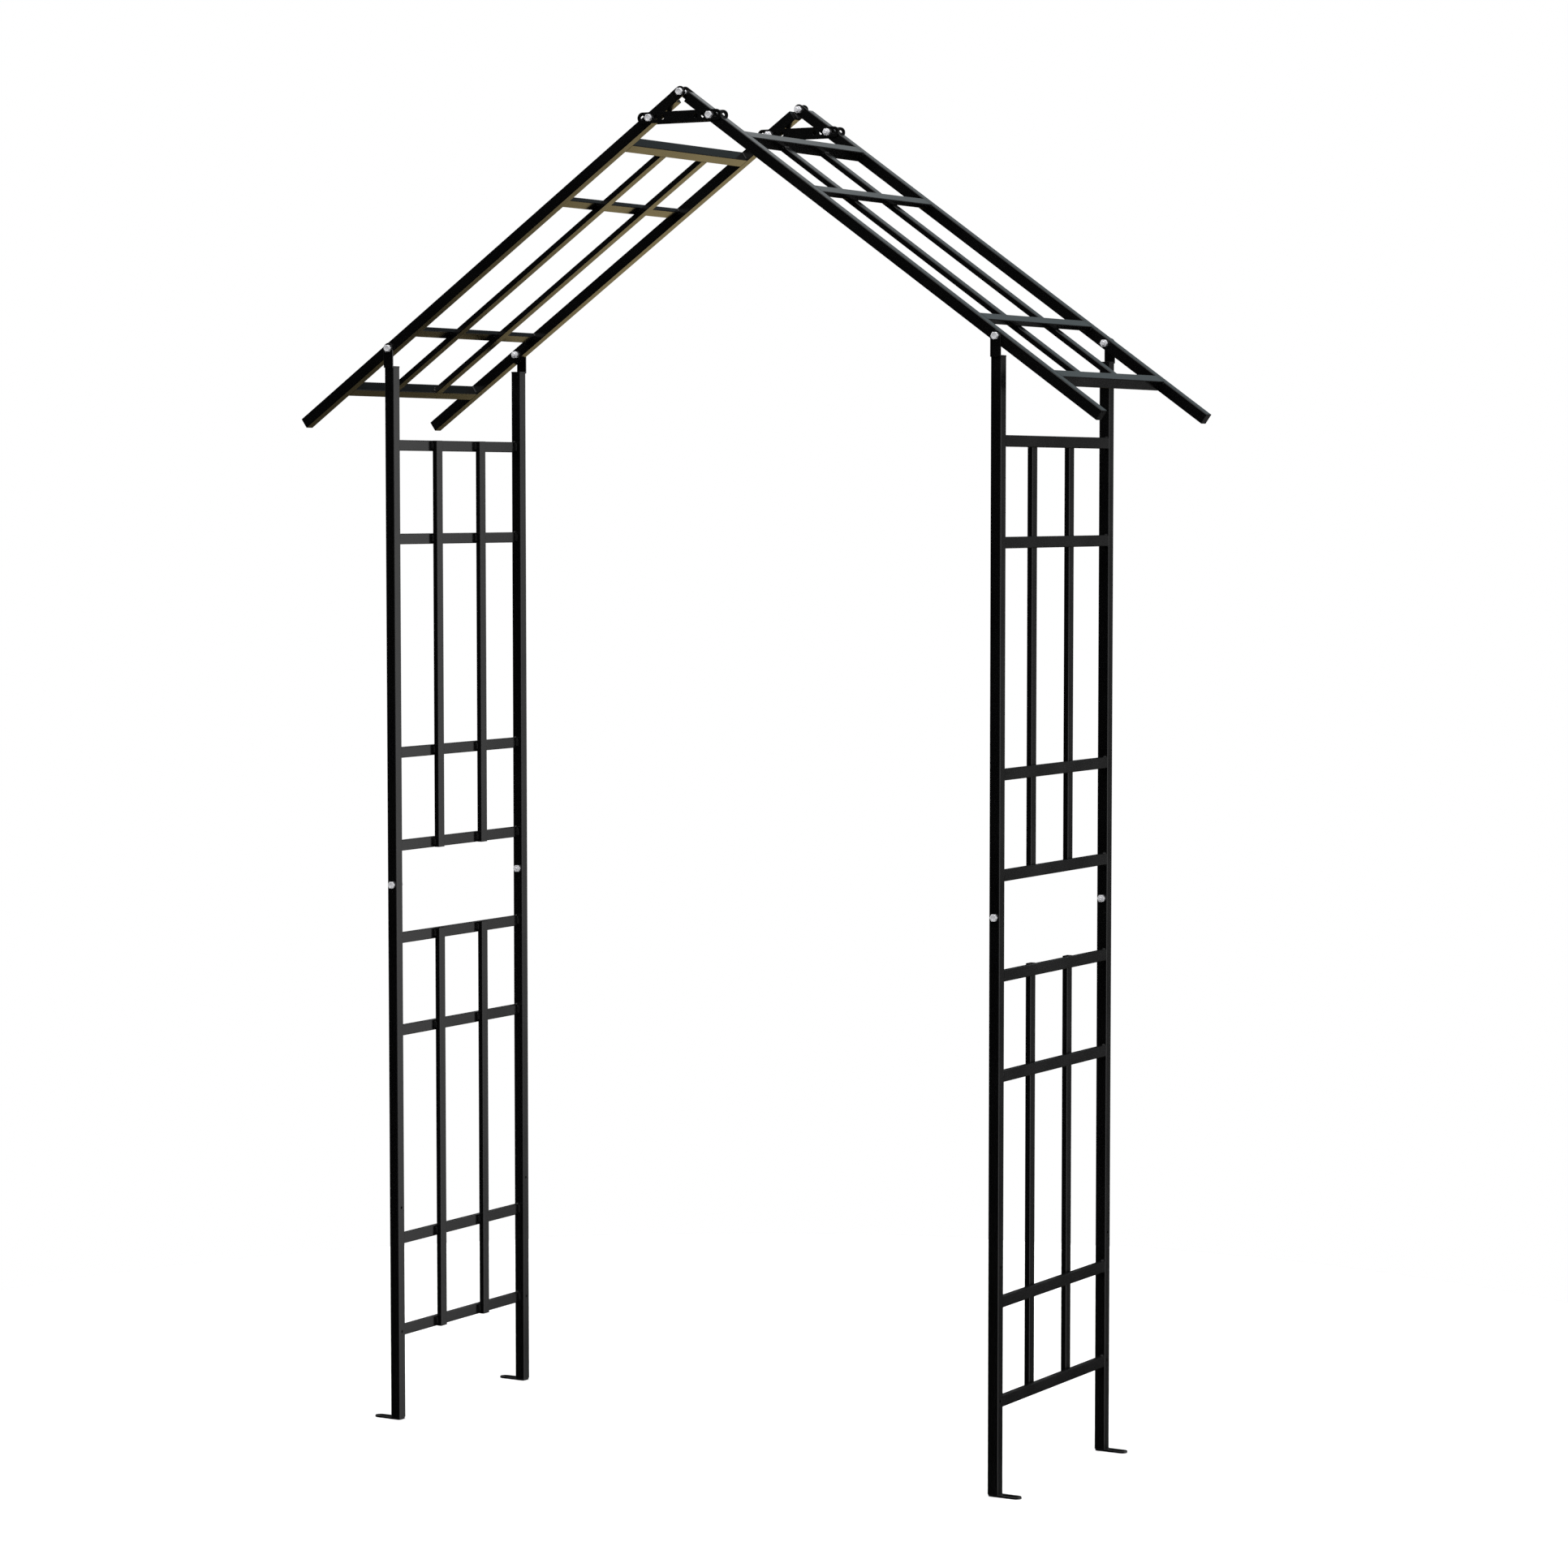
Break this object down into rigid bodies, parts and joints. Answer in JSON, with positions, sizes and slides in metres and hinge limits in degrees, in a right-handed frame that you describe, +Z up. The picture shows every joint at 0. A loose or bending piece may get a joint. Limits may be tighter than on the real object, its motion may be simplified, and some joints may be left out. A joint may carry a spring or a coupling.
{
  "type": "garden trellis arch",
  "caption": "Walk-through garden arch of black square steel tube: ladder side panels with split posts and a pitched ladder roof, bolted together.",
  "frame": {"origin": "on the ground, midway between the side panels and midway between front and back", "axes": "+X across the walkway, +Y from front to back along the walkway, +Z up"},
  "size_m": [1.6744, 0.46, 2.4705],
  "materials": {
    "powder_coat": "satin black powder coat",
    "zinc": "bright zinc plate"
  },
  "bodies": {
    "root": {"post_lower_lf": "powder_coat", "post_lower_lb": "powder_coat", "post_lower_rf": "powder_coat", "post_lower_rb": "powder_coat", "post_upper_lf": "powder_coat", "post_upper_lb": "powder_coat", "post_upper_rf": "powder_coat", "post_upper_rb": "powder_coat", "joint_sleeve_lf": "powder_coat", "joint_sleeve_lb": "powder_coat", "joint_sleeve_rf": "powder_coat", "joint_sleeve_rb": "powder_coat", "foot_plate_lf": "powder_coat", "foot_plate_lb": "powder_coat", "foot_plate_rf": "powder_coat", "foot_plate_rb": "powder_coat", "top_bracket_lf": "powder_coat", "top_bracket_lb": "powder_coat", "top_bracket_rf": "powder_coat", "top_bracket_rb": "powder_coat", "side_rails_left_lower": "powder_coat", "side_rails_left_upper": "powder_coat", "side_rails_right_lower": "powder_coat", "side_rails_right_upper": "powder_coat", "side_bars_left_lower": "powder_coat", "side_bars_left_upper": "powder_coat", "side_bars_right_lower": "powder_coat", "side_bars_right_upper": "powder_coat", "rafter_lf": "powder_coat", "rafter_lb": "powder_coat", "rafter_rf": "powder_coat", "rafter_rb": "powder_coat", "rafter_plugs_left": "powder_coat", "rafter_plugs_right": "powder_coat", "roof_end_rails_left": "powder_coat", "roof_end_rails_right": "powder_coat", "roof_mid_rails_left": "powder_coat", "roof_mid_rails_right": "powder_coat", "roof_bars_left": "powder_coat", "roof_bars_right": "powder_coat", "ridge_ears_left": "powder_coat", "ridge_ears_right": "powder_coat", "tie_plates_front": "powder_coat", "tie_plates_back": "powder_coat", "ridge_bolts": "zinc", "ridge_nuts": "zinc", "tie_bolts": "zinc", "tie_nuts": "zinc", "eave_bolts": "zinc", "eave_nuts": "zinc", "joint_bolts": "zinc", "joint_nuts": "zinc"}
  },
  "joints": []
}
